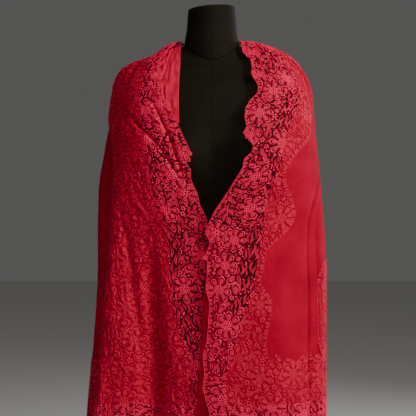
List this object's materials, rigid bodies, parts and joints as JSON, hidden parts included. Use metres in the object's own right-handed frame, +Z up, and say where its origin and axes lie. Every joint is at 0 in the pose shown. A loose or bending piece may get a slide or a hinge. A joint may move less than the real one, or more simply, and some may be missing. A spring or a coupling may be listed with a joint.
{
  "type": "lace shawl on a dress form",
  "caption": "Lace-edged wool shawl draped open over the shoulders of a limbless dress form on a round base.",
  "frame": {"origin": "centre of the underside of the round base, on the floor", "axes": "+Z up, -Y out of the front of the shawl, +X towards the wearer's left"},
  "size_m": [0.5416, 0.38, 1.4726],
  "materials": {
    "wool": "matte",
    "lace": "satin",
    "jersey": "matte",
    "stand": "satin"
  },
  "bodies": {
    "root": {"wool_right_front": "wool", "wool_left_front": "wool", "wool_back": "wool", "under_layer_left": "wool", "lace_right_front": "lace", "lace_left_front": "lace", "lace_left_hem": "lace", "lace_left_side": "lace", "lace_back_neck": "lace", "lace_back_hem": "lace", "neck_turn_right": "lace", "form_torso": "jersey", "form_neck": "jersey", "form_pole": "stand", "form_base": "stand"}
  },
  "joints": []
}
